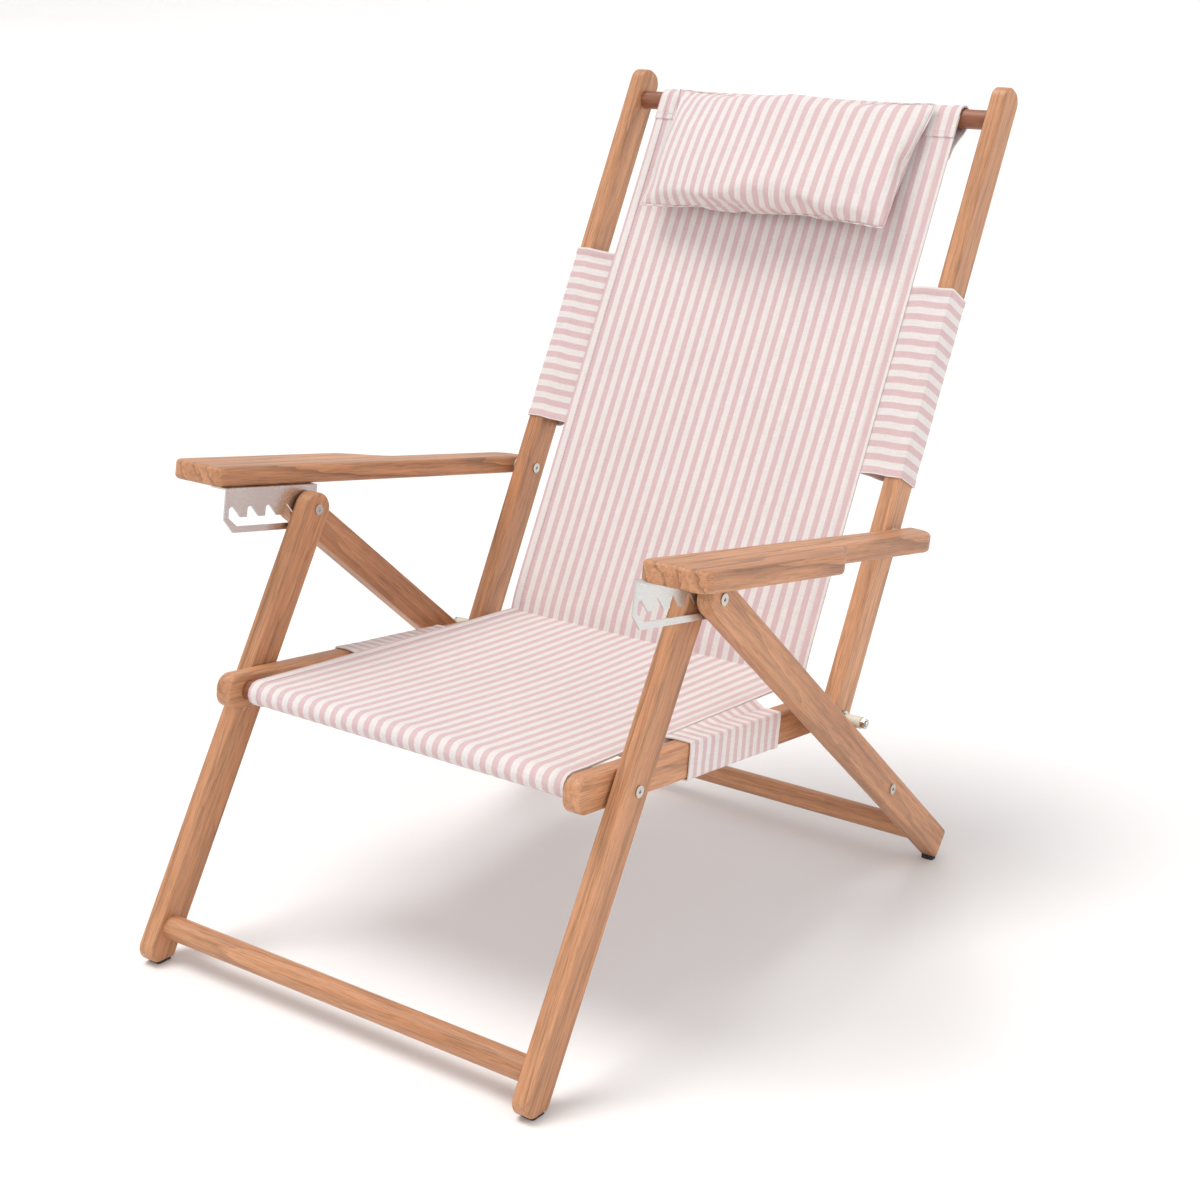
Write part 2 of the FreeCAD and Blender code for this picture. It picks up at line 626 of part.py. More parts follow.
def catch_web():
    """The upright web of the catch plate, with a closed channel and five slanted notches."""
    body, sketch = new_body("catch_web")
    top, low = size("arm_thick") / 2, size("plate_drop")
    back, front = size("plate_back"), size("plate_front")
    chamfer = 13.0
    points = [
        Vector(back, top, 0),
        Vector(front, top, 0),
        Vector(front, low - chamfer, 0),
        Vector(front - chamfer, low, 0),
        Vector(back, low, 0),
    ]
    ids = sketch.addGeometry([Part.LineSegment(a, b) for a, b in zip(points, points[1:] + points[:1])])
    for this, following in zip(ids, ids[1:] + ids[:1]):
        sketch.addConstraint(Sketcher.Constraint("Coincident", this, 2, following, 1))
    upper, nose, slant, lower, tail = ids
    for flat in (upper, lower):
        sketch.addConstraint(Sketcher.Constraint("Horizontal", flat))
    for upright in (nose, tail):
        sketch.addConstraint(Sketcher.Constraint("Vertical", upright))
    named(sketch, "top", cell("arm_thick") + " / 2", "DistanceY", -1, 1, upper, 1, top)
    named(sketch, "drop", cell("plate_drop"), "DistanceY", -1, 1, lower, 1, low)
    named(sketch, "rear", cell("plate_back"), "DistanceX", -1, 1, upper, 1, back)
    named(sketch, "nose", cell("plate_front"), "DistanceX", -1, 1, upper, 2, front)
    sketch.addConstraint(Sketcher.Constraint("DistanceX", slant, 2, slant, 1, chamfer))
    sketch.addConstraint(Sketcher.Constraint("DistanceY", slant, 1, slant, 2, chamfer))
    web = body.newObject("PartDesign::Pad", "catch_sheet")
    web.Profile = sketch
    bind(web, Length=cell("plate_thick"))
    doc.recompute()

    def opening(name, shapes):
        """A sketch on the plate's face, and the pocket that it cuts right through."""
        hole = body.newObject("Sketcher::SketchObject", name + "_outline")
        plane = next(o for o in body.Origin.OriginFeatures if o.Role == "XY_Plane")
        hole.AttachmentSupport = [(plane, "")]
        hole.MapMode = "FlatFace"
        numbers = hole.addGeometry(shapes)
        pocket = body.newObject("PartDesign::Pocket", name)
        pocket.Profile = hole
        pocket.Type = "ThroughAll"
        pocket.Reversed = True
        return hole, numbers, pocket

    tip, floor = size("tooth_tip"), size("channel_floor")
    first, pitch, r = size("notch_first"), size("notch_pitch"), size("notch_r")
    last_notch = first + 4 * pitch
    ring_points = [
        Vector(first - 11, tip, 0),
        Vector(last_notch + r, tip, 0),
        Vector(last_notch - 9, floor, 0),
        Vector(first - 11, floor, 0),
    ]
    lines = [Part.LineSegment(a, b) for a, b in zip(ring_points, ring_points[1:] + ring_points[:1])]
    channel, ids, _ = opening("channel", lines)
    for this, following in zip(ids, ids[1:] + ids[:1]):
        channel.addConstraint(Sketcher.Constraint("Coincident", this, 2, following, 1))
    channel.addConstraint(Sketcher.Constraint("Horizontal", ids[0]))
    channel.addConstraint(Sketcher.Constraint("Horizontal", ids[2]))
    channel.addConstraint(Sketcher.Constraint("Vertical", ids[3]))
    named(channel, "tip", cell("tooth_tip"), "DistanceY", -1, 1, ids[0], 1, tip)
    named(channel, "floor", cell("channel_floor"), "DistanceY", -1, 1, ids[2], 1, floor)
    named(channel, "rear", cell("notch_first") + " - 11", "DistanceX", -1, 1, ids[0], 1, first - 11)
    last_words = f"{cell('notch_first')} + 4 * {cell('notch_pitch')}"
    nose_words = f"{last_words} + {cell('notch_r')}"
    named(channel, "nose", nose_words, "DistanceX", -1, 1, ids[0], 2, last_notch + r)
    named(channel, "heel", f"{last_words} - 9", "DistanceX", -1, 1, ids[2], 1, last_notch - 9)
    doc.recompute()

    pin = Vector(first, size("notch_depth"), 0)
    slope = math.radians(45)
    below = tip + 0.5
    start = Vector(pin.x - r * math.sin(slope), pin.y - r * math.cos(slope), 0)
    run = (below - start.y) / math.tan(slope)
    shapes = [
        Part.ArcOfCircle(Part.Circle(pin, Vector(0, 0, 1), r), 1.25 * math.pi, 2 * math.pi),
        Part.LineSegment(Vector(pin.x + r, pin.y, 0), Vector(pin.x + r, below, 0)),
        Part.LineSegment(Vector(pin.x + r, below, 0), Vector(start.x - run, below, 0)),
        Part.LineSegment(Vector(start.x - run, below, 0), start),
    ]
    notch, ids, notch_cut = opening("notch", shapes)
    crown, wall, mouth, ramp = ids
    notch.addConstraint(Sketcher.Constraint("Tangent", crown, 2, wall, 1))
    notch.addConstraint(Sketcher.Constraint("Coincident", wall, 2, mouth, 1))
    notch.addConstraint(Sketcher.Constraint("Coincident", mouth, 2, ramp, 1))
    notch.addConstraint(Sketcher.Constraint("Tangent", ramp, 2, crown, 1))
    notch.addConstraint(Sketcher.Constraint("Vertical", wall))
    notch.addConstraint(Sketcher.Constraint("Horizontal", mouth))
    notch.addConstraint(Sketcher.Constraint("Angle", ramp, slope + math.pi * 1.5))
    named(notch, "crown", cell("notch_r"), "Radius", crown, r)
    named(notch, "first", cell("notch_first"), "DistanceX", -1, 1, crown, 3, first)
    named(notch, "depth", cell("notch_depth"), "DistanceY", -1, 1, crown, 3, pin.y)
    named(notch, "mouth", cell("tooth_tip") + " + 0.5", "DistanceY", -1, 1, mouth, 1, below)
    doc.recompute()
    row = body.newObject("PartDesign::LinearPattern", "notches")
    row.Originals = [notch_cut]
    row.Direction = (notch, ["H_Axis"])
    row.Occurrences = 5
    bind(row, Length="4 * " + cell("notch_pitch"))
    body.Tip = row
    doc.recompute()
    return body


web = catch_web()
web.Placement = side_frame(size("plate_x"), ARM_PIVOT, ARM_FORWARD)
flange_corner = Placement(Vector(size("plate_back"), size("arm_thick") / 2, 0), Rotation())
flange = block(
    "catch_flange",
    f"{cell('plate_front')} - {cell('plate_back')}",
    cell("plate_thick"),
    cell("plate_flange"),
    web.Placement.multiply(flange_corner),
)
screw_holes = [
    rod(
        f"flange_hole{number}",
        f"{cell('screw_r')} + 0.1",
        cell("plate_thick"),
        screw_place(ahead, size("plate_thick")),
    )
    for number, ahead in enumerate(SCREW_PLACES, start=1)
]
catch_plate = cut("catch_plate", fuse("catch_bracket", web, flange), fuse("flange_holes", *screw_holes))
pair(catch_plate, "catch_plate")

catch_screws = []
for number, ahead in enumerate(SCREW_PLACES, start=1):
    shank = rod(
        f"catch_screw_shank{number}",
        cell("screw_r"),
        f"{cell('screw_long')} + {cell('plate_thick')}",
        screw_place(ahead, size("plate_thick")),
    )
    head = rod(
        f"catch_screw_head{number}",
        cell("screw_head_r"),
        cell("screw_head"),
        screw_place(ahead, size("plate_thick") + size("screw_head")),
    )
    catch_screws.append(fuse(f"catch_screw{number}", shank, head))
screws_left = group("catch_screws_left", *catch_screws)
mirrored(screws_left, "catch_screws_right")

# ---------------------------------------------------------------- fabric

SLING_WIDE = "2 * " + cell("sling_half")


def sling(label, dowel_point, dowel_r, degrees, long, outer_side):
    """A sheet of canvas with a sleeve at one end round a dowel.

    The sheet leaves the sleeve in the given direction, flush with the sleeve's side that outer_side picks.
    """
    loop_r = size(dowel_r) + size("cloth_gap") + size("cloth")
    start = x_axis_at(-size("sling_half"), dowel_point)
    skin_words = f"{cell(dowel_r)} + {cell('cloth_gap')} + {cell('cloth')}"
    sleeve = rod(label + "_sleeve", skin_words, SLING_WIDE, start)
    inside = rod(label + "_inside", f"{cell(dowel_r)} + {cell('cloth_gap')}", SLING_WIDE, start)
    low = loop_r - size("cloth") if outer_side > 0 else -loop_r
    frame = side_frame(-size("sling_half"), dowel_point, degrees)
    canvas = block(
        label + "_canvas",
        long,
        cell("cloth"),
        SLING_WIDE,
        frame.multiply(Placement(Vector(0, low, 0), Rotation())),
    )
    return finish(cut(label, fuse(label + "_cloth", sleeve, canvas), inside), label)


back_long = f"{cell('back_pitch')} - {cell('back_crease_up')}"
sling("back_sling", TOP_DOWEL, "top_dowel_r", BACK_UP + 180, back_long, -1)
seat_back_way = size("seat_lift") - size("seat_slope")
seat_long = f"{cell('seat_pitch')} + {cell('seat_dowel_ahead')} - {cell('seat_crease_ahead')}"
sling("seat_sling", SEAT_DOWEL, "seat_dowel_r", seat_back_way, seat_long, 1)


def wrap(label, low, high, x, degrees):
    """A sleeve of canvas round a rail, from low to high along it."""
    skin = size("cloth") + size("cloth_gap")
    half = size("stock_deep") / 2
    frame = side_frame(x, HINGE, degrees)
    long = f"{cell(high)} - {cell(low)}"
    layers = []
    for part, room, words in (
        ("outside", skin, f"2 * ({cell('cloth')} + {cell('cloth_gap')})"),
        ("inside", size("cloth_gap"), f"2 * {cell('cloth_gap')}"),
    ):
        corner = Placement(Vector(size(low), -half - room, -room), Rotation())
        layers.append(
            block(
                f"{label}_{part}",
                long,
                f"{cell('stock_deep')} + {words}",
                f"{cell('stock_thick')} + {words}",
                frame.multiply(corner),
            )
        )
    pair(cut(label, *layers), label)


wrap("back_wrap", "back_wrap_low", "back_wrap_high", size("front_leg_x"), BACK_UP)
wrap("seat_wrap", "seat_wrap_rear", "seat_wrap_front", size("seat_rail_x"), SEAT_FORWARD)

pillow_rest = size("top_dowel_r") + size("cloth_gap") + size("cloth") + 0.5
pillow_frame = side_frame(-size("pillow_wide") / 2, HINGE, BACK_UP)
pillow_block = block(
    "pillow_block",
    cell("pillow_tall"),
    cell("pillow_deep"),
    cell("pillow_wide"),
    pillow_frame.multiply(Placement(Vector(size("pillow_low"), pillow_rest, 0), Rotation())),
)
PILLOW_ROUND = 15.0
pillow = doc.addObject("Part::Fillet", "head_pillow")
pillow.Base = pillow_block
pillow.Edges = [(number, PILLOW_ROUND, PILLOW_ROUND) for number in range(1, 13)]
finish(pillow, "head_pillow")

# ---------------------------------------------------------------- checks and export

doc.recompute()
for obj in doc.Objects:
    if "Invalid" in obj.State or "Error" in obj.State:
        raise RuntimeError(f"{obj.Label} failed: {obj.State}")
for obj in finished:
    if obj.Shape.isNull() or not obj.Shape.isValid():
        raise RuntimeError(f"{obj.Label} has no valid shape")
for obj in finished:
    obj.Shape.exportStep(f"parts/{obj.Label}.step")
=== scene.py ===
"""A low folding beach chair: canvas, pillow, stitching, materials, light and camera, round the CAD frame."""

import json
import math

import bpy
from mathutils import Matrix, Vector, noise


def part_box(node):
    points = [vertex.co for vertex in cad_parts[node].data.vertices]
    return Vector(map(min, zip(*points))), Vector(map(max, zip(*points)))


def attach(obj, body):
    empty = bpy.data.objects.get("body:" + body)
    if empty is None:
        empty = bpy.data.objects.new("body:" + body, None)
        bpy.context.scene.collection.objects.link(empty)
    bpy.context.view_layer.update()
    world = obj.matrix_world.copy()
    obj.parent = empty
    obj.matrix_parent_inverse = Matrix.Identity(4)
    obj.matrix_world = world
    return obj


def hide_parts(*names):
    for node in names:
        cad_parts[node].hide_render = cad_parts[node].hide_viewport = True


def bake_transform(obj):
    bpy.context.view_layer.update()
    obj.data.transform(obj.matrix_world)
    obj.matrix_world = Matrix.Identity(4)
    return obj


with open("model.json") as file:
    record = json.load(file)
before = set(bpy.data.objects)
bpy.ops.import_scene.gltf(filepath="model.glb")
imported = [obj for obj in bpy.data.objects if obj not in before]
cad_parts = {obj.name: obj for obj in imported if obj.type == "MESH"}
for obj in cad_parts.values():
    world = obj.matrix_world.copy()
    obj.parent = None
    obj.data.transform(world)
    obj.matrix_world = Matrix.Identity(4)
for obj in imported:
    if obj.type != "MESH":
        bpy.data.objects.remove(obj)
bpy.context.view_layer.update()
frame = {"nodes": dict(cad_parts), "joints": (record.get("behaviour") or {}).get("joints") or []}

# ---------------------------------------------------------------- where the frame's parts are

pivots = {joint["name"]: Vector(joint["pos_m"]) for joint in frame["joints"]}
HINGE = pivots["recline"]


def mid(node):
    """The middle of a CAD node's box."""
    low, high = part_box(node)
    return (low + high) / 2


TOP_DOWEL = mid("top_dowel")
SEAT_DOWEL = mid("seat_front_dowel")
TOP_R = (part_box("top_dowel")[1].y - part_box("top_dowel")[0].y) / 2
SEAT_R = (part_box("seat_front_dowel")[1].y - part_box("seat_front_dowel")[0].y) / 2

BACK = (TOP_DOWEL - HINGE).normalized()
SEAT = (SEAT_DOWEL - HINGE).normalized()
BACK.x = SEAT.x = 0
BACK_OUT = Vector((0, -BACK.z, BACK.y))
SEAT_OUT = Vector((0, SEAT.z, -SEAT.y))
BACK_LONG = (TOP_DOWEL - HINGE).dot(BACK)
SEAT_LONG = (SEAT_DOWEL - HINGE).dot(SEAT)

HALF = 0.192                # half the width of the slings
CLOTH = 0.0013              # thickness of the canvas
CELL = 0.0065               # spacing of the points of a sling
PITCH = 0.014               # width of a pink and a white stripe together
LIFT = math.radians(2.7)    # the seat sling rises this much towards the back, against the rails
CREASE_ALONG = 0.0285      # where the slings meet: up the back from the hinge, and towards the sitter
CREASE_OUT = 0.0085
CREASE = HINGE + BACK * CREASE_ALONG + BACK_OUT * CREASE_OUT
RAIL = 0.0182               # thickness of a rail, along X
RAIL_DEEP = 0.034           # depth of a rail
BACK_RAIL_X = 0.2228        # inner faces of the rails, from the chair's middle
SEAT_RAIL_X = 0.2023


def on_back(x, along, out):
    """A point given by x, how far up the back rail from the hinge, and how far towards the sitter."""
    return HINGE + BACK * along + BACK_OUT * out + Vector((x, 0, 0))


def on_seat(x, along, out):
    """A point given by x, how far ahead of the hinge along the seat rail, and how far above its line."""
    return HINGE + SEAT * along + SEAT_OUT * out + Vector((x, 0, 0))


# ---------------------------------------------------------------- node materials


class Nodes:
    """A material's node tree, with short calls to add and link nodes."""

    def __init__(self, name):
        self.material = bpy.data.materials.new(name)
        self.material.use_nodes = True
        self.tree = self.material.node_tree
        self.shader = self.tree.nodes["Principled BSDF"]

    def add(self, kind, inputs=(), **settings):
        node = self.tree.nodes.new(kind)
        for key, value in settings.items():
            setattr(node, key, value)
        for key, value in dict(inputs).items():
            if isinstance(value, bpy.types.NodeSocket):
                self.tree.links.new(value, node.inputs[key])
            else:
                node.inputs[key].default_value = value
        return node

    def math(self, operation, a, b=0.0):
        return self.add("ShaderNodeMath", {0: a, 1: b}, operation=operation).outputs[0]

    def scaled(self, vector, scale):
        return self.add("ShaderNodeMapping", {"Vector": vector, "Scale": scale}).outputs[0]

    def noise(self, vector, scale, detail=2.0, rough=0.5):
        inputs = {"Vector": vector, "Scale": scale, "Detail": detail, "Roughness": rough}
        return self.add("ShaderNodeTexNoise", inputs).outputs["Fac"]

    def ramp(self, value, *stops):
        """A colour ramp. Each stop is its position and a grey level or a colour."""
        node = self.add("ShaderNodeValToRGB", {"Fac": value})
        elements = node.color_ramp.elements
        for index, (place, colour) in enumerate(stops):
            element = elements[index] if index < 2 else elements.new(place)
            element.position = place
            element.color = (colour,) * 3 + (1,) if isinstance(colour, float) else (*colour, 1)
        return node.outputs["Color"]

    def mix(self, fac, a, b, blend="MIX"):
        inputs = {"Factor": fac, "A": a, "B": b}
        node = self.add("ShaderNodeMix", data_type="RGBA", blend_type=blend)
        places = {"Factor": 0, "A": 6, "B": 7}
        for key, value in inputs.items():
            socket = node.inputs[places[key]]
            if isinstance(value, bpy.types.NodeSocket):
                self.tree.links.new(value, socket)
            else:
                socket.default_value = value if key == "Factor" else (*value, 1)
        return node.outputs[2]

    def range(self, value, low, high):
        """The value, stretched from 0..1 to low..high."""
        return self.add("ShaderNodeMapRange", {"Value": value, "To Min": low, "To Max": high}).outputs[0]

    def bump(self, height, distance, strength=1.0, under=None):
        inputs = {"Height": height, "Distance": distance, "Strength": strength}
        if under is not None:
            inputs["Normal"] = under
        return self.add("ShaderNodeBump", inputs).outputs[0]

    def finish(self, links, **constants):
        for key, socket in links.items():
            self.tree.links.new(socket, self.shader.inputs[key])
        for key, value in constants.items():
            self.shader.inputs[key.replace("_", " ")].default_value = value
        return self.material


def wood(name, degrees, light, dark, seed, rings=1.0):
    """Oiled hardwood whose grain runs at degrees above +Y, or along X where degrees is None."""
    n = Nodes(name)
    place = n.add("ShaderNodeTexCoord").outputs["Object"]
    turn = (0, 0, math.pi / 2) if degrees is None else (-math.radians(degrees), 0, 0)
    grain = n.add(
        "ShaderNodeMapping", {"Vector": place, "Rotation": turn, "Location": (seed, 2.3 * seed, 0.7 * seed)}
    ).outputs[0]
    broad = n.noise(n.scaled(grain, (26, 2.4, 26)), 1.0, 4.0, 0.55)
    bands = n.add(
        "ShaderNodeTexWave",
        {
            "Vector": n.scaled(grain, (1, 0.05, 0.62)),
            "Scale": 34.0,
            "Distortion": 5.5,
            "Detail": 3.0,
            "Detail Scale": 1.6,
            "Detail Roughness": 0.6,
        },
        bands_direction="DIAGONAL",
        wave_profile="SAW",
    ).outputs["Fac"]
    streaks = n.noise(n.scaled(grain, (230, 7, 230)), 1.0, 3.0, 0.6)
    pores = n.noise(n.scaled(grain, (1500, 42, 1500)), 1.0, 2.0, 0.5)
    tone = n.ramp(broad, (0.32, dark), (0.66, light))
    ring_tone = n.ramp(bands, (0.0, 1.0), (0.72, 0.95), (1.0, 1 - 0.30 * rings))
    tone = n.mix(1.0, tone, ring_tone, "MULTIPLY")
    tone = n.mix(1.0, tone, n.ramp(streaks, (0.34, 0.74), (0.56, 1.0)), "MULTIPLY")
    tone = n.mix(0.75, tone, n.ramp(pores, (0.36, 0.60), (0.50, 1.0)), "MULTIPLY")
    uneven = n.math("ADD", n.math("MULTIPLY", broad, 0.6), n.math("MULTIPLY", pores, 0.4))
    rough = n.range(uneven, 0.34, 0.60)
    relief = n.bump(pores, 0.0003, 0.5)
    relief = n.bump(streaks, 0.0005, 0.25, relief)
    return n.finish(
        {"Base Color": tone, "Roughness": rough, "Normal": relief},
        Coat_Weight=0.12,
        Coat_Roughness=0.35,
    )


WARP_PITCH, WEFT_PITCH = 0.0011, 0.0013


def canvas(name, pink, white):
    """Striped canvas. The mesh's cloth attribute gives the place across and along the stripes, in metres."""
    n = Nodes(name)
    place = n.add("ShaderNodeAttribute", attribute_name="cloth").outputs["Vector"]
    parts = n.add("ShaderNodeSeparateXYZ", {0: place})
    across, along = parts.outputs[0], parts.outputs[1]
    drift = n.math("MULTIPLY", n.math("SUBTRACT", n.noise(n.scaled(place, (60, 14, 1)), 1.0), 0.5), 0.0010)
    thread = n.math("MULTIPLY", n.math("SUBTRACT", n.noise(n.scaled(place, (900, 900, 1)), 1.0), 0.5), 0.0011)
    edge = n.math("ADD", n.math("ADD", across, drift), thread)
    share = n.math("FRACT", n.math("ADD", n.math("MULTIPLY", edge, 1 / PITCH), 200.25))
    band = n.math("ABSOLUTE", n.math("SUBTRACT", share, 0.5))
    stripe = n.ramp(band, (0.225, 1.0), (0.262, 0.0))
    slub = n.noise(n.scaled(place, (1600, 70, 1)), 1.0, 3.0, 0.6)
    weft = n.noise(n.scaled(place, (70, 1300, 1)), 1.0, 3.0, 0.6)
    cloud = n.noise(n.scaled(place, (11, 7, 1)), 1.0, 3.0)
    tone = n.mix(stripe, white, pink)
    tone = n.mix(1.0, tone, n.ramp(slub, (0.25, 0.86), (0.62, 1.0)), "MULTIPLY")
    tone = n.mix(1.0, tone, n.ramp(weft, (0.25, 0.90), (0.62, 1.0)), "MULTIPLY")
    tone = n.mix(1.0, tone, n.ramp(cloud, (0.30, 0.955), (0.70, 1.0)), "MULTIPLY")
    warp = n.math("SINE", n.math("MULTIPLY", across, 2 * math.pi / WARP_PITCH))
    fill = n.math("SINE", n.math("MULTIPLY", along, 2 * math.pi / WEFT_PITCH))
    weave = n.math("MULTIPLY", warp, fill)
    relief = n.bump(weave, 0.00012, 0.6)
    relief = n.bump(slub, 0.0003, 0.35, relief)
    relief = n.bump(n.noise(n.scaled(place, (38, 16, 1)), 1.0, 3.0), 0.004, 0.10, relief)
    rough = n.range(slub, 0.82, 0.95)
    return n.finish(
        {"Base Color": tone, "Normal": relief, "Roughness": rough},
        Sheen_Weight=0.22,
        Sheen_Roughness=0.55,
        Specular_IOR_Level=0.22,
    )


def steel(name, colour, rough, brushed):
    """Zinc-plated or brushed steel, with fine drawn scratches and faint smudges."""
    n = Nodes(name)
    place = n.add("ShaderNodeTexCoord").outputs["Object"]
    scratches = n.noise(n.scaled(place, (2600, 60 if brushed else 2600, 2600)), 1.0, 3.0, 0.6)
    smudge = n.noise(n.scaled(place, (28, 28, 28)), 1.0, 2.0)
    shade = tuple(0.84 * c for c in colour)
    tone = n.mix(smudge, shade, colour)
    level = n.math("ADD", n.math("MULTIPLY", scratches, 0.5), n.math("MULTIPLY", smudge, 0.5))
    return n.finish(
        {
            "Base Color": tone,
            "Roughness": n.range(level, rough - 0.06, rough + 0.12),
            "Normal": n.bump(scratches, 0.00005, 0.2),
        },
        Metallic=1.0,
    )


def moulded(name, colour, rough, grit):
    """Plastic or rubber with a fine moulded texture and slight unevenness of colour."""
    n = Nodes(name)
    place = n.add("ShaderNodeTexCoord").outputs["Object"]
    fine = n.noise(n.scaled(place, (grit, grit, grit)), 1.0, 2.0)
    cloud = n.noise(n.scaled(place, (60, 60, 60)), 1.0, 2.0)
    tone = n.mix(cloud, tuple(0.8 * c for c in colour), colour)
    return n.finish(
        {
            "Base Color": tone,
            "Roughness": n.range(fine, rough - 0.08, rough + 0.08),
            "Normal": n.bump(fine, 0.0002, 0.4),
        }
    )


def thread(name, colour):
    """Twisted sewing thread."""
    n = Nodes(name)
    place = n.add("ShaderNodeTexCoord").outputs["Object"]
    twist = n.noise(n.scaled(place, (2600, 2600, 2600)), 1.0, 2.0)
    tone = n.mix(twist, tuple(0.72 * c for c in colour), colour)
    relief = n.bump(twist, 0.0002, 0.6)
    return n.finish({"Base Color": tone, "Normal": relief}, Roughness=0.7, Sheen_Weight=0.2)


WOOD_LIGHT = (0.69, 0.340, 0.172)
WOOD_DARK = (0.50, 0.215, 0.095)
DOWEL_LIGHT = (0.40, 0.150, 0.075)
DOWEL_DARK = (0.27, 0.090, 0.045)
PINK = (0.74, 0.540, 0.545)
WHITE = (0.85, 0.795, 0.775)

striped = canvas("striped_canvas", PINK, WHITE)
sewing = thread("white_thread", (0.86, 0.80, 0.77))
bolts = steel("zinc_steel", (0.60, 0.585, 0.55), 0.20, False)
plates = steel("stainless_sheet", (0.70, 0.695, 0.685), 0.24, True)
nylon = moulded("nylon", (0.78, 0.74, 0.62), 0.5, 1200)
rubber = moulded("black_rubber", (0.028, 0.027, 0.026), 0.75, 1600)

# ---------------------------------------------------------------- materials of the CAD nodes

GRAIN = {
    # node name without its side: (degrees above +Y, seed of the left one, strength of the rings)
    "front_leg": (60.4, 0.31, 1.0),
    "rear_leg": (-40.3, 1.57, 0.8),
    "seat_rail": (-5.9, 2.23, 0.7),
    "back_rail": (63.3, 3.71, 0.8),
    "armrest": (-8.6, 4.43, 1.5),
}
DOWELS = {"front_stretcher": 5.1, "rear_stretcher": 6.3, "seat_front_dowel": 7.7, "top_dowel": 8.9}


def material_of(node):
    """The material of a CAD node, by its name."""
    for base, (degrees, seed, rings) in GRAIN.items():
        if node.startswith(base):
            seed += 0.63 * node.endswith("right")
            return wood(node + "_wood", degrees, WOOD_LIGHT, WOOD_DARK, seed, rings)
    if node in DOWELS:
        stretcher = node.endswith("stretcher")
        light = WOOD_LIGHT if stretcher else DOWEL_LIGHT
        dark = WOOD_DARK if stretcher else DOWEL_DARK
        return wood(node + "_wood", None, light, dark, DOWELS[node], 0.8)
    if node.endswith("foot_pads"):
        return rubber
    if "roller" in node or "spacer" in node:
        return nylon
    if "catch_plate" in node or "stay_link" in node:
        return plates
    return bolts


for node, cad in frame["nodes"].items():
    made = material_of(node)
    cad.data.materials.clear()
    cad.data.materials.append(made)

# ---------------------------------------------------------------- cloth meshes


def new_object(name, points, faces, material, across_along=None, sharp=40):
    """A mesh object with smooth faces, sharp past an angle, and the cloth attribute where it is given."""
    mesh = bpy.data.meshes.new(name)
    mesh.from_pydata([tuple(p) for p in points], [], faces)
    mesh.polygons.foreach_set("use_smooth", [True] * len(mesh.polygons))
    mesh.set_sharp_from_angle(angle=math.radians(sharp))
    if across_along is not None:
        data = mesh.attributes.new("cloth", "FLOAT_VECTOR", "POINT").data
        for item, (a, b) in zip(data, across_along):
            item.vector = (a, b, 0)
    mesh.materials.append(material)
    mesh.update()
    piece = bpy.data.objects.new(name, mesh)
    bpy.context.scene.collection.objects.link(piece)
    return piece


def spread(low, high, step):
    """Evenly spaced numbers from low to high, about step apart."""
    count = max(2, round(abs(high - low) / step) + 1)
    return [low + (high - low) * i / (count - 1) for i in range(count)]


def with_breaks(low, high, step, *breaks):
    """Numbers from low to high about step apart, which also hold each break."""
    stops = [low, *sorted(b for b in breaks if low < b < high), high]
    numbers = []
    for a, b in zip(stops, stops[1:]):
        numbers += spread(a, b, step)[:-1]
    return numbers + [high]


def shell(name, rows, thick, marks, material, round_closed=False):
    """A closed shell of cloth, from rows of points on its outer face.

    thick(i, j) is how far in the other face is, and marks(i, j) the place across and along the stripes. With
    round_closed, each row is a closed loop.
    """
    tall, wide = len(rows), len(rows[0])
    normals = [[surface_normal(rows, i, j, round_closed) for j in range(wide)] for i in range(tall)]
    outer = [p for row in rows for p in row]
    inner = [rows[i][j] - normals[i][j] * thick(i, j) for i in range(tall) for j in range(wide)]
    count = tall * wide
    faces = []
    for i in range(tall - 1):
        for j in range(wide if round_closed else wide - 1):
            a, b = i * wide + j, i * wide + (j + 1) % wide
            c, d = b + wide, a + wide
            faces.append((a, b, c, d))
            faces.append((count + d, count + c, count + b, count + a))
    for j in range(wide if round_closed else wide - 1):
        a, b = j, (j + 1) % wide
        faces.append((b, a, count + a, count + b))
        a, b = (tall - 1) * wide + j, (tall - 1) * wide + (j + 1) % wide
        faces.append((a, b, count + b, count + a))
    if not round_closed:
        for i in range(tall - 1):
            a, b = i * wide, (i + 1) * wide
            faces.append((a, b, count + b, count + a))
            a, b = i * wide + wide - 1, (i + 1) * wide + wide - 1
            faces.append((b, a, count + a, count + b))
    places = [marks(i, j) for i in range(tall) for j in range(wide)]
    return new_object(name, outer + inner, faces, material, places * 2)


def surface_normal(rows, i, j, closed):
    """The normal of a grid of points at row i and column j."""
    wide = len(rows[0])
    if closed:
        left, right = rows[i][j - 1], rows[i][(j + 1) % wide]
    else:
        left, right = rows[i][max(j - 1, 0)], rows[i][min(j + 1, wide - 1)]
    low, high = rows[max(i - 1, 0)][j], rows[min(i + 1, len(rows) - 1)][j]
    return (right - left).cross(high - low).normalized()


def arc(centre, radius, start, end, steps):
    """Points in a plane across the chair, on an arc from start to end, in degrees above +Y."""
    return [
        centre + radius * Vector((0, math.cos(math.radians(a)), math.sin(math.radians(a))))
        for a in spread(start, end, abs(end - start) / steps)
    ]


def resample(points, step):
    """The same line with points about step apart, and the distance of each along it."""
    lengths = [0.0]
    for a, b in zip(points, points[1:]):
        lengths.append(lengths[-1] + (b - a).length)
    places = spread(0, lengths[-1], step)
    found, k = [], 0
    for place in places:
        while k < len(points) - 2 and lengths[k + 1] < place:
            k += 1
        part = (place - lengths[k]) / (lengths[k + 1] - lengths[k])
        found.append(points[k].lerp(points[k + 1], part))
    return found, places


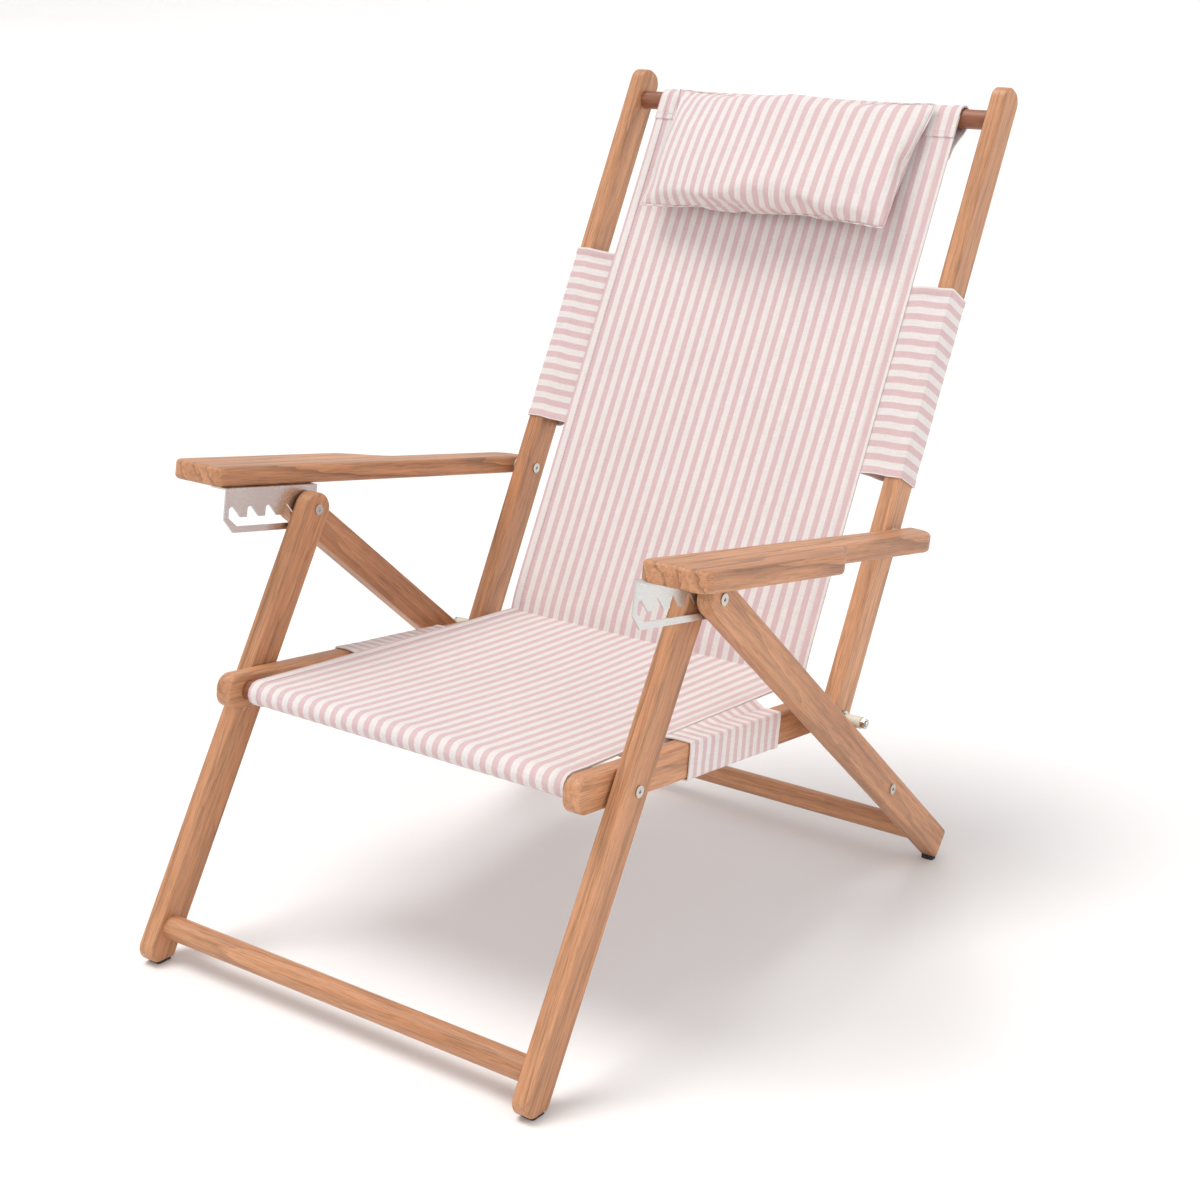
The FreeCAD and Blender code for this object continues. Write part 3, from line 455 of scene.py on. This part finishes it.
HEM = 0.011
HEM_RISE = 0.0007
HEM_STEP = 0.0006
EDGES = (-HALF + HEM, -HALF + HEM + HEM_STEP, HALF - HEM - HEM_STEP, HALF - HEM)
XS = with_breaks(-HALF, HALF, CELL, *EDGES)


def ripple(x, along, seed):
    """A faint unevenness of stretched cloth, in metres."""
    broad = noise.noise(Vector((x * 7, along * 5, seed)))
    fine = noise.noise(Vector((x * 26, along * 9, seed + 9)))
    return 0.0011 * broad + 0.0004 * fine


FREE_HANG = 0.004           # the ripple is whole from a twelfth of this sag


def sling_rows(path, places, sag, seed):
    """Rows of points for a sling whose outer face follows path, with side hems and a sag in the middle."""
    total = places[-1]
    rows = []
    for k, point in enumerate(path):
        ahead = path[min(k + 1, len(path) - 1)] - path[max(k - 1, 0)]
        out = Vector((0, -ahead.z, ahead.y)).normalized()
        row = []
        hang = sag(places[k] / total)
        free = min(1.0, 12 * hang / FREE_HANG)
        for x in XS:
            belly = hang * (1 - (x / HALF) ** 2)
            hem = HEM_RISE if abs(x) >= HALF - HEM else 0.0
            row.append(point + Vector((x, 0, 0)) + out * (hem - belly + free * ripple(x, places[k], seed)))
        rows.append(row)
    return rows


def sling(name, path, sag, seed, offset=0.0):
    """A sling from its path in the chair's side view, its rows of points and its length.

    The outer face is on the left of the path's direction. offset shifts the stripes.
    """
    line, places = resample(path, CELL)
    rows = sling_rows(line, places, sag, seed)

    def thick(i, j):
        return CLOTH + (HEM_RISE if abs(XS[j]) >= HALF - HEM else 0.0)

    piece = shell(name, rows, thick, lambda i, j: (XS[j] + offset, places[i]), striped)
    return piece, rows, places[-1]


STITCH, STITCH_GAP, STITCH_R = 0.0026, 0.0012, 0.00032


def stitch_row(line, outs, long=STITCH, gap=STITCH_GAP, radius=STITCH_R):
    """Stitches along a line of points, each sunk half into the cloth. outs are the cloth's normals there."""
    points, faces = [], []
    lengths = [0.0]
    for a, b in zip(line, line[1:]):
        lengths.append(lengths[-1] + (b - a).length)
    place, k = gap, 0
    while place + long < lengths[-1]:
        middle = place + long / 2
        while lengths[k + 1] < middle:
            k += 1
        along = (line[k + 1] - line[k]).normalized()
        centre = line[k].lerp(line[k + 1], (middle - lengths[k]) / (lengths[k + 1] - lengths[k]))
        out = outs[k]
        side = along.cross(out).normalized()
        first = len(points)
        for reach, size in ((-0.5, 0.35), (-0.36, 0.9), (0.0, 1.0), (0.36, 0.9), (0.5, 0.35)):
            lift = 0.45 * radius * (1 - (2 * reach) ** 2)
            for corner in range(6):
                angle = corner * math.pi / 3
                around = side * math.cos(angle) + out * math.sin(angle)
                points.append(centre + along * (reach * long) + out * lift + around * radius * size)
        for ring in range(4):
            for corner in range(6):
                a = first + ring * 6 + corner
                b = first + ring * 6 + (corner + 1) % 6
                faces.append((a, b, b + 6, a + 6))
        faces.append(tuple(first + c for c in reversed(range(6))))
        faces.append(tuple(first + 24 + c for c in range(6)))
        place += long + gap
    return points, faces


def stitching(name, rows_of_stitches):
    """One object with several rows of stitches. Each row is a line of points and its normals."""
    points, faces = [], []
    for line, outs in rows_of_stitches:
        more, more_faces = stitch_row(line, outs)
        faces += [tuple(len(points) + v for v in face) for face in more_faces]
        points += more
    return new_object(name, points, faces, sewing, sharp=180)


def column(rows, j):
    """A line of points down one column of a grid, with the normals there."""
    return [row[j] for row in rows], [surface_normal(rows, i, j, False) for i in range(len(rows))]


def nearest_column(x):
    """The column of a sling's grid that is nearest to x."""
    return min(range(len(XS)), key=lambda j: abs(XS[j] - x))


# ---------------------------------------------------------------- back sling and its sleeve

TURN = math.degrees(math.atan2(BACK.z, BACK.y))
SLEEVE = TOP_R + 0.0006 + CLOTH     # how far the back sling's outer face is from the line of the back
FLAP = 0.027                        # length of the sleeve's front flap, below the top dowel

back_top = BACK_LONG - 0.001
back_path = [
    CREASE,
    on_back(0, 0.045, SLEEVE - 0.0012),
    on_back(0, 0.075, SLEEVE - 0.0002),
    on_back(0, 0.12, SLEEVE),
    on_back(0, back_top, SLEEVE),
]


BACK_HANG, SEAT_HANG, HANG_CURVE = 0.0045, 0.0055, 1.4


def back_sag(share):
    """How far the middle of the back sling hangs behind its edges."""
    return BACK_HANG * math.sin(math.pi * share) ** HANG_CURVE if 0 < share < 1 else 0.0


def no_sag(share):
    """The sleeve lies flat round its dowel."""
    return 0.0


back_sling, back_rows, back_length = sling("back_sling_cloth", back_path, back_sag, 1.7)

over = SLEEVE + CLOTH + 0.0002
sleeve_path = [on_back(0, BACK_LONG - FLAP, over - 0.0004), on_back(0, BACK_LONG - FLAP * 0.5, over)]
sleeve_path += arc(TOP_DOWEL, over, TURN + 90, TURN - 90, 20)
sleeve_path += [
    on_back(0, BACK_LONG - 0.012, -over + 0.004),
    on_back(0, BACK_LONG - 0.024, -0.001),
    on_back(0, BACK_LONG - 0.036, 0.0060),
    on_back(0, BACK_LONG - 0.050, 0.0085),
]
back_sleeve, sleeve_rows, sleeve_length = sling("back_sleeve_cloth", sleeve_path, no_sag, 3.1, offset=0.0016)

# ---------------------------------------------------------------- seat sling

SEAT_TURN = math.degrees(math.atan2(SEAT.z, SEAT.y))
SEAT_WRAP_R = SEAT_R + 0.0005 + CLOTH     # radius of the seat sling's outer face round the front dowel
tilt = SEAT_TURN + math.degrees(LIFT)
front_up = Vector((0, math.cos(math.radians(tilt - 90)), math.sin(math.radians(tilt - 90))))
front_tangent = SEAT_DOWEL + front_up * SEAT_WRAP_R
seat_path = arc(SEAT_DOWEL, SEAT_WRAP_R, tilt + 125, tilt - 90, 26)
seat_path = [
    on_seat(0, SEAT_LONG - 0.036, 0.0075),
    on_seat(0, SEAT_LONG - 0.024, 0.0020),
    *seat_path,
    CREASE.copy(),
]

# lengths of the seat sling's flat top and of the part round the dowel, and the share where the top starts
SEAT_TOP = (CREASE - front_tangent).length
SEAT_ROUND = sum((b - a).length for a, b in zip(seat_path, seat_path[1:])) - SEAT_TOP
SAG_START = SEAT_ROUND / (SEAT_ROUND + SEAT_TOP)


def seat_sag(share):
    """How far the middle of the seat sling hangs, from none where it leaves the front dowel."""
    if share <= SAG_START or share >= 1:
        return 0.0
    return SEAT_HANG * math.sin(math.pi * (share - SAG_START) / (1 - SAG_START)) ** HANG_CURVE


seat_sling, seat_rows, seat_length = sling("seat_sling_cloth", seat_path, seat_sag, 6.2)

# ---------------------------------------------------------------- wraps round the rails


def rounded_loop(corners, straights=9):
    """A closed loop through corners of (a, b, radius), with its corners rounded, as points of a and b.

    Each of its straight runs has the same number of points, whatever its length.
    """
    loop = []
    count = len(corners)
    for k, (a, b, radius) in enumerate(corners):
        here = Vector((a, b))
        before = Vector(corners[k - 1][:2]) - here
        after = Vector(corners[(k + 1) % count][:2]) - here
        half = before.angle(after) / 2
        reach = min(radius / math.tan(half), 0.45 * before.length, 0.45 * after.length)
        start, end = here + before.normalized() * reach, here + after.normalized() * reach
        for part in (0, 0.25, 0.5, 0.75, 1):
            loop.append(start.lerp(here, part).lerp(here.lerp(end, part), part))
    fine = []
    for k, (p, q) in enumerate(zip(loop, loop[1:] + loop[:1])):
        parts = straights if k % 5 == 4 else 1
        fine += [p.lerp(q, i / parts) for i in range(parts)]
    return fine


WRAP_HEM = 0.007


def wrap(name, side, low, high, corners_at, place, body, seed):
    """A tube of canvas round a rail, sewn to the edge of the sling, with a hem at each end."""
    hem, step = WRAP_HEM, WRAP_HEM + HEM_STEP
    stations = with_breaks(low, high, 0.006, low + hem, low + step, high - step, high - hem)
    rows, distances = [], None
    for station in stations:
        loop = rounded_loop(corners_at(station))
        if distances is None:
            distances = [0.0]
            for p, q in zip(loop, loop[1:]):
                distances.append(distances[-1] + (q - p).length)
        bulge = 0.0005 if station <= low + hem or station >= high - hem else 0.0
        centre = sum(loop, Vector((0, 0))) / len(loop)
        row = []
        for p in loop:
            away = (p - centre).normalized()
            swell = bulge + 0.0005 * noise.noise(Vector((station * 40, p.x * 60, p.y * 60 + seed)))
            q = p + away * swell
            drift = 0.0012 * noise.noise(Vector((q.x * 55, q.y * 45, seed)))
            row.append(place(side * q.x, station + drift, q.y))
        rows.append(row if side > 0 else row[::-1])
    shown = distances if side > 0 else distances[::-1]
    piece = shell(
        name,
        rows if body == "back_frame" else [row[::-1] for row in rows],
        lambda i, j: CLOTH,
        lambda i, j: (stations[i], shown[j]),
        striped,
        round_closed=True,
    )
    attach(piece, body)
    return piece, rows, stations


BACK_LOW, BACK_HIGH = 0.251, 0.457      # ends of the wraps along their rails, from the hinge
SEAT_LOW, SEAT_HIGH = 0.092, 0.252
ROOM = 0.0016                           # how far a wrap's outer face stands off its rail
HALF_DEEP = RAIL_DEEP / 2


def back_corners(station):
    """The back wrap's section: from under the sling's edge, over the rail's front, round it and back.

    It is the same at every station.
    """
    inner, outer = BACK_RAIL_X, BACK_RAIL_X + RAIL
    return [
        (HALF - 0.0035, 0.0104, 0.0006),
        (inner + 0.0015, HALF_DEEP + ROOM, 0.010),
        (outer + ROOM, HALF_DEEP + ROOM, 0.0032),
        (outer + ROOM, -HALF_DEEP - ROOM, 0.0032),
        (inner - ROOM, -HALF_DEEP - ROOM, 0.0045),
        (HALF - 0.0035, 0.0086, 0.0006),
    ]


def seat_corners(station):
    """The seat wrap's section: from beside the sling's edge, over the rail's top, round it and up inside.

    The sling rises towards the back, so the height of the wrap's inner edge changes with the station.
    """
    inner, outer = SEAT_RAIL_X, SEAT_RAIL_X + RAIL
    height = SEAT_WRAP_R + (SEAT_LONG - station) * math.tan(LIFT) - 0.0022
    return [
        (HALF + 0.0004, height + 0.0015, 0.0004),
        (inner + 0.0004, HALF_DEEP + ROOM, 0.0016),
        (outer + ROOM, HALF_DEEP + ROOM, 0.0032),
        (outer + ROOM, -HALF_DEEP - ROOM, 0.0032),
        (inner - ROOM, -HALF_DEEP - ROOM, 0.0045),
        (HALF + 0.0004, height - 0.0014, 0.0004),
    ]


for word, side in (("left", 1), ("right", -1)):
    made = wrap(
        f"back_wrap_cloth_{word}", side, BACK_LOW, BACK_HIGH, back_corners, on_back, "back_frame", 2.0 + side
    )
    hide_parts(f"back_wrap_{word}")
    made = wrap(
        f"seat_wrap_cloth_{word}", side, SEAT_LOW, SEAT_HIGH, seat_corners, on_seat, "seat_frame", 5.0 + side
    )
    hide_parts(f"seat_wrap_{word}")

# ---------------------------------------------------------------- head pillow

PILLOW_TOP_WIDE = 0.338     # size of its flat panels
PILLOW_LOW_WIDE = 0.322
PILLOW_TALL = 0.156
PILLOW_TOP = 0.658          # places of its upper and lower edge up the back rail from the hinge
PILLOW_LOW = 0.508
PILLOW_GRID = (70, 29)      # points across and up each panel
PILLOW_START = 0.008        # how far each panel bulges before it is inflated
SEAM_TOP = 0.0180           # how far the upper and lower seams stand in front of the hinge's line
SEAM_LOW = 0.0400
PILLOW_REST = 0.0195        # where the pillow's back lies against the sling
PILLOW_FRAMES, PILLOW_PRESSURE, PILLOW_CAP = 24, 6.0, 0.034
SEAM_BOW = 0.3              # how much of the seams' curve the inflated pillow keeps
PILLOW_HEM = 3              # the column of the grid where each end is stitched through
GROOVE = 0.0022             # depth of the hollow along that stitching, and the square of its width in columns
GROOVE_WIDE = 1.2
PUCKER_FROM = 0.55          # the panels pucker from this share of the way to a seam


def pillow_blank():
    """Two panels of canvas sewn round their edges, almost flat, as a closed mesh.

    Also gives the points of its rim in order, each point's column, and the lines of points down both ends.
    """
    wide, tall = PILLOW_GRID
    points, places, index, columns = [], [], {}, []
    for side in (1, -1):
        for i in range(wide):
            for j in range(tall):
                rim = i in (0, wide - 1) or j in (0, tall - 1)
                if rim and side == -1:
                    index[side, i, j] = index[1, i, j]
                    continue
                a, b = i / (wide - 1) * 2 - 1, j / (tall - 1) * 2 - 1
                swell = (1 - a**4) * (1 - b**2)
                half = (PILLOW_TOP_WIDE * (1 + b) + PILLOW_LOW_WIDE * (1 - b)) / 4
                index[side, i, j] = len(points)
                columns.append(i)
                points.append(Vector((a * half, b * PILLOW_TALL / 2, side * PILLOW_START * swell)))
                places.append((a * half, b * PILLOW_TALL / 2))
    faces = []
    for side in (1, -1):
        for i in range(wide - 1):
            for j in range(tall - 1):
                ring = [(i, j), (i + 1, j), (i + 1, j + 1), (i, j + 1)]
                ring = [index[side, u, v] for u, v in ring]
                faces.append(tuple(ring if side > 0 else reversed(ring)))
    rim = [index[1, i, 0] for i in range(wide)]
    rim += [index[1, wide - 1, j] for j in range(1, tall)]
    rim += [index[1, i, tall - 1] for i in range(wide - 2, -1, -1)]
    rim += [index[1, 0, j] for j in range(tall - 2, 0, -1)]
    ends = [[index[1, i, j] for j in range(1, tall - 1)] for i in (PILLOW_HEM, wide - 1 - PILLOW_HEM)]
    piece = new_object("head_pillow_cloth", points, faces, striped, places, sharp=70)
    return piece, rim, columns, ends


def simulate(piece, frames, pressure, cap):
    """Inflates a closed piece as cloth, and leaves a plain mesh whose points moved no further than cap."""
    before = [v.co.copy() for v in piece.data.vertices]
    cloth = piece.modifiers.new("inflate", "CLOTH")
    cloth.settings.quality = 6
    cloth.settings.mass = 0.3
    cloth.settings.tension_stiffness = 40
    cloth.settings.compression_stiffness = 40
    cloth.settings.shear_stiffness = 20
    cloth.settings.bending_stiffness = 0.15
    cloth.settings.use_pressure = True
    cloth.settings.uniform_pressure_force = pressure
    cloth.settings.effector_weights.gravity = 0
    cloth.point_cache.frame_start, cloth.point_cache.frame_end = 1, frames
    for step in range(1, frames + 1):
        bpy.context.scene.frame_set(step)
    solved = piece.evaluated_get(bpy.context.evaluated_depsgraph_get()).to_mesh()
    after = [v.co.copy() for v in solved.vertices]
    piece.modifiers.remove(cloth)
    for vertex, old, new in zip(piece.data.vertices, before, after):
        move = new - old
        vertex.co = old + move * min(1.0, cap / max(move.length, 1e-9))
    bpy.context.scene.frame_set(1)


pillow, pillow_rim, pillow_columns, pillow_ends = pillow_blank()
simulate(pillow, PILLOW_FRAMES, PILLOW_PRESSURE, PILLOW_CAP)

# The inflated pillow is laid on the sling, and each column of its grid runs from the lower to the upper seam.
heights = {}
for vertex, column_number in zip(pillow.data.vertices, pillow_columns):
    heights.setdefault(column_number, []).append(vertex.co.y)
last_column = max(pillow_columns)
lowest, highest = min(map(min, heights.values())), max(map(max, heights.values()))
for vertex, column_number in zip(pillow.data.vertices, pillow_columns):
    x, b, c = vertex.co
    low_seam, top_seam = min(heights[column_number]), max(heights[column_number])
    share = (b - low_seam) / (top_seam - low_seam)
    seam_out = SEAM_LOW + (SEAM_TOP - SEAM_LOW) * share
    from_end = min(column_number, last_column - column_number) - PILLOW_HEM
    groove = GROOVE * math.exp(-(from_end**2) / GROOVE_WIDE) if c > 0 else 0.0
    depth = c - groove if c > 0 else max(c, PILLOW_REST - seam_out)
    near_seam = max(0.0, abs(2 * share - 1) - PUCKER_FROM) / (1 - PUCKER_FROM)
    wrinkle = 0.0012 * noise.noise(Vector((x * 60, b * 20, 3 if c > 0 else 8)))
    pucker = 0.0020 * near_seam * (1 - near_seam) * noise.noise(Vector((x * 210, 4, 1)))
    wave = 0.0022 * noise.noise(Vector((x * 22, 1, 5)))
    bow = SEAM_BOW * ((low_seam - lowest) * (1 - share) + (top_seam - highest) * share)
    along = PILLOW_LOW + (PILLOW_TOP - PILLOW_LOW) * share + wave * (1 - share) + bow
    vertex.co = on_back(x, along, seam_out + depth + wrinkle + pucker)
deepen = pillow.modifiers.new("smooth", "SUBSURF")
deepen.levels = deepen.render_levels = 1
smoothed = bpy.data.meshes.new_from_object(pillow.evaluated_get(bpy.context.evaluated_depsgraph_get()))
pillow.modifiers.clear()
rim_points = [pillow.data.vertices[v].co.copy() for v in pillow_rim]
end_lines = [[pillow.data.vertices[v].co.copy() for v in line] for line in pillow_ends]
pillow.data = smoothed
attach(pillow, "back_frame")
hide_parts("head_pillow")


def piping(name, line, radius, sides=8):
    """A thin closed roll of canvas along a closed line of points."""
    rows = []
    count = len(line)
    for k, point in enumerate(line):
        along = (line[(k + 1) % count] - line[k - 1]).normalized()
        first = along.cross(BACK_OUT).normalized()
        second = along.cross(first)
        rows.append(
            [
                point + (first * math.cos(a) + second * math.sin(a)) * radius
                for a in (2 * math.pi * s / sides for s in range(sides))
            ]
        )
    points = [p for row in rows for p in row]
    faces = []
    for k in range(count):
        for s in range(sides):
            a, b = k * sides + s, k * sides + (s + 1) % sides
            c, d = ((k + 1) % count) * sides + (s + 1) % sides, ((k + 1) % count) * sides + s
            faces.append((a, d, c, b))
    places = [(point.x, (point - HINGE).dot(BACK)) for row in rows for point in row]
    return new_object(name, points, faces, striped, places, sharp=180)


PIPING_R = 0.0008
seam = piping("pillow_seam", rim_points, PIPING_R)
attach(seam, "back_frame")
end_seams = stitching("pillow_end_stitching", [(line, [BACK_OUT] * len(line)) for line in end_lines])
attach(end_seams, "back_frame")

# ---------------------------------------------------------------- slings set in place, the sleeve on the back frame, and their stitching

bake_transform(back_sling)
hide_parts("back_sling")
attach(back_sleeve, "back_frame")
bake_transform(seat_sling)
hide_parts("seat_sling")

HEM_SEAM = 0.0085           # how far the hem's stitches are from the sling's edge
HEM_COLUMNS = [nearest_column(-HALF + HEM_SEAM), nearest_column(HALF - HEM_SEAM)]
back_seams = stitching("back_hem_stitching", [column(back_rows, j) for j in HEM_COLUMNS])
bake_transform(back_seams)
seat_seams = stitching("seat_hem_stitching", [column(seat_rows, j) for j in HEM_COLUMNS])
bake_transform(seat_seams)
SLEEVE_SEAM_ROW = 1
sleeve_line = sleeve_rows[SLEEVE_SEAM_ROW]
sleeve_outs = [surface_normal(sleeve_rows, SLEEVE_SEAM_ROW, j, False) for j in range(len(sleeve_line))]
sleeve_seam = stitching("sleeve_stitching", [(sleeve_line, sleeve_outs)])
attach(sleeve_seam, "back_frame")

# ---------------------------------------------------------------- floor, light and camera


def stage():
    """A wide pale floor that curves up all round into a pale wall, far from the chair."""
    flat, bend, wall, sides = 30.0, 12.0, 32.0, 72
    profile = [(flat * part, 0.0) for part in (0.02, 0.1, 0.4, 1.0)]
    profile += [
        (flat + bend * math.sin(a), bend - bend * math.cos(a)) for a in spread(0.1, math.pi / 2, 0.1)
    ]
    profile.append((flat + bend, wall))
    points, faces = [], [tuple(range(sides))]
    for reach, height in profile:
        for side in range(sides):
            turn = 2 * math.pi * side / sides
            points.append(Vector((reach * math.cos(turn), reach * math.sin(turn), height)))
    for k in range(len(profile) - 1):
        for side in range(sides):
            a, b = k * sides + side, k * sides + (side + 1) % sides
            faces.append((a, a + sides, b + sides, b))
    n = Nodes("pale_floor")
    place = n.add("ShaderNodeTexCoord").outputs["Object"]
    cloud = n.noise(n.scaled(place, (2, 2, 2)), 1.0, 3.0)
    tone = n.mix(cloud, (0.90, 0.895, 0.895), (0.93, 0.925, 0.925))
    made = n.finish({"Base Color": tone}, Roughness=0.7, Specular_IOR_Level=0.1)
    floor = new_object("floor", points, faces, made, sharp=60)


stage()


def area_light(name, place, aim, size, watts, colour):
    data = bpy.data.lights.new(name, "AREA")
    data.shape, data.size = "DISK", size
    data.energy, data.color = watts, colour
    lamp = bpy.data.objects.new(name, data)
    lamp.location = place
    lamp.rotation_euler = (Vector(aim) - Vector(place)).to_track_quat("-Z", "Y").to_euler()
    bpy.context.scene.collection.objects.link(lamp)


sun = bpy.data.lights.new("key", "SUN")
sun.energy, sun.color, sun.angle = 1.75, (1.0, 0.985, 0.965), math.radians(30)
sun_lamp = bpy.data.objects.new("key", sun)
sun_lamp.rotation_euler = Vector((0.95, 0.6, -3.0)).to_track_quat("-Z", "Y").to_euler()
bpy.context.scene.collection.objects.link(sun_lamp)
area_light("fill", (3.0, -2.6, 1.8), (0, 0, 0.4), 2.8, 26, (0.98, 0.99, 1.0))

world = bpy.data.worlds.new("studio")
world.use_nodes = True
world.node_tree.nodes["Background"].inputs["Color"].default_value = (1.0, 0.995, 0.99, 1)
world.node_tree.nodes["Background"].inputs["Strength"].default_value = 0.66
bpy.context.scene.world = world
bpy.context.scene.view_settings.view_transform = "Standard"

# lens, shift, place and axes found by fitting the chair's bars to the photograph
camera_data = bpy.data.cameras.new("camera")
camera_data.sensor_fit = "VERTICAL"
camera_data.sensor_height = 36.0
camera_data.lens = 60.057
camera_data.shift_x, camera_data.shift_y = -0.03245, -0.04185
camera = bpy.data.objects.new("camera", camera_data)
right = Vector((0.8165306, 0.5769008, 0.0215225))
up = Vector((-0.1729825, 0.2089266, 0.9625106))
facing = Matrix((right, up, right.cross(up))).transposed()
camera.matrix_world = Matrix.Translation((1.164135, -1.593029, 0.927474)) @ facing.to_4x4()
bpy.context.scene.collection.objects.link(camera)
bpy.context.scene.camera = camera
